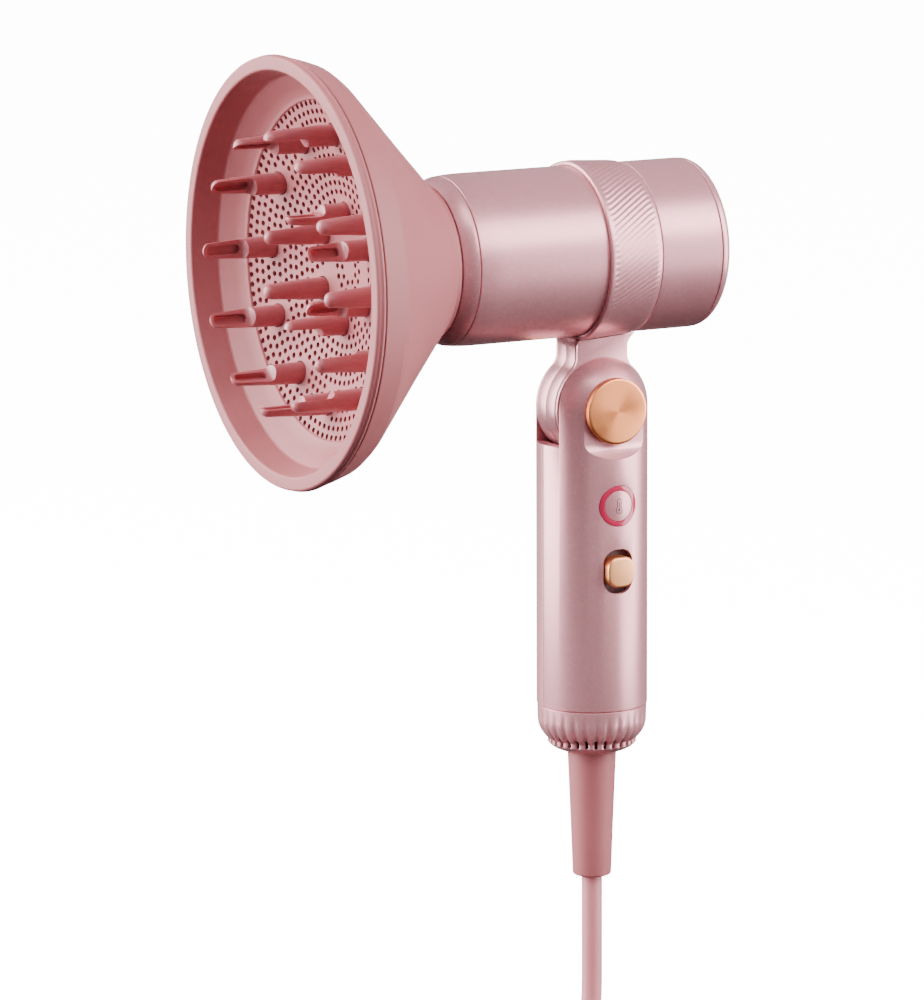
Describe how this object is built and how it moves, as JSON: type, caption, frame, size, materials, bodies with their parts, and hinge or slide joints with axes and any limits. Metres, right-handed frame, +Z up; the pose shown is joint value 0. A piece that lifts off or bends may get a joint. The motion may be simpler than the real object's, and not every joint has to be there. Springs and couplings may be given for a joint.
{
  "type": "folding hair dryer with diffuser",
  "caption": "Hand-held hair dryer with a folding handle, short round barrel, wide round diffuser bowl with prongs, side buttons, vented base and coiled mains cord.",
  "frame": {"origin": "middle of the grip, on the handle's axis", "axes": "+Z up along the handle towards the hinge, +X forward the way the air leaves, +Y towards the side that carries the button and the switch"},
  "size_m": [0.1667, 0.1798, 0.3745],
  "materials": {
    "satin_pink": "satin pearl lacquer over a moulded or drawn shell",
    "matt_pink": "fine moulded matt plastic",
    "rose_prongs": "moulded plastic, semi-matt, slightly translucent",
    "rose_gold": "rose-gold plated, circular brushed",
    "crimson_plastic": "glossy translucent light guide",
    "dark_plastic": "moulded matt plastic",
    "rubber": "matt",
    "steel": "fine machined",
    "aluminium": "die cast, machined",
    "copper": "drawn wire or rolled strip",
    "mica": "pressed mica sheet",
    "circuit_board": "lacquered laminate",
    "cord_pink": "flexible vinyl sheath",
    "plug_pins": "nickel plated"
  },
  "bodies": {
    "handle": {"handle_shell_left": "satin_pink", "handle_shell_right": "satin_pink", "handle_screw_upper": "steel", "handle_screw_lower": "steel", "bottom_vent_cap": "satin_pink", "strain_relief": "matt_pink", "cord_clamp": "dark_plastic", "control_board": "circuit_board", "switch_module": "dark_plastic", "button_light_ring": "crimson_plastic", "hinge_pin": "steel", "friction_washer_left": "rubber", "hinge_cap_left": "rose_gold", "friction_washer_right": "rubber", "hinge_cap_right": "rose_gold", "cord_lead": "cord_pink", "cord_coil": "cord_pink", "plug_body": "cord_pink", "plug_pin_left": "plug_pins", "plug_pin_right": "plug_pins"},
    "barrel": {"neck_left": "satin_pink", "neck_right": "satin_pink", "barrel_tube_front": "satin_pink", "barrel_tube_rear": "satin_pink", "ribbed_collar": "satin_pink", "nozzle_ring": "satin_pink", "outlet_grille": "dark_plastic", "inner_duct": "dark_plastic", "motor_sleeve": "rubber", "motor_housing": "aluminium", "stator_core": "copper", "heater_frame": "mica", "heater_winding": "copper", "heater_shield": "mica", "thermal_cutout": "steel", "thermal_fuse": "copper", "ion_emitter": "steel"},
    "fan": {"motor_shaft": "steel", "rotor_magnet": "steel", "impeller": "dark_plastic"},
    "filter": {"rear_filter_cover": "satin_pink", "filter_mesh": "steel"},
    "adapter": {"diffuser_adapter": "matt_pink", "adapter_magnet": "steel"},
    "diffuser": {"diffuser_bowl": "matt_pink", "diffuser_rim": "matt_pink", "diffuser_plate": "matt_pink", "outer_prongs": "rose_prongs", "inner_prongs": "rose_prongs"},
    "temperature_key": {"temperature_button": "satin_pink"},
    "power_slider": {"switch_carrier": "dark_plastic", "switch_knob": "rose_gold"}
  },
  "joints": [
    {"name": "fold", "type": "hinge", "parent": "handle", "child": "barrel", "pos_m": [0, 0, 0.06], "axis": [0, 1, 0], "range_deg": [0, 65]},
    {"name": "fan_spin", "type": "hinge", "parent": "barrel", "child": "fan", "pos_m": [0, 0, 0.1145], "axis": [1, 0, 0], "continuous": true},
    {"name": "filter_pull", "type": "slide", "parent": "barrel", "child": "filter", "axis": [-1, 0, 0], "range_m": [0, 0.03]},
    {"name": "diffuser_pull", "type": "slide", "parent": "barrel", "child": "adapter", "axis": [1, 0, 0], "range_m": [0, 0.06]},
    {"name": "diffuser_turn", "type": "hinge", "parent": "adapter", "child": "diffuser", "pos_m": [0.07, 0, 0.1145], "axis": [1, 0, 0], "continuous": true},
    {"name": "temperature_press", "type": "slide", "parent": "handle", "child": "temperature_key", "axis": [0, -1, 0], "range_m": [0, 0.0008], "stiffness_N_per_m": 800, "springref_m": -0.0005},
    {"name": "power_slide", "type": "slide", "parent": "handle", "child": "power_slider", "axis": [0, 0, 1], "range_m": [-0.0022, 0.0022]}
  ]
}
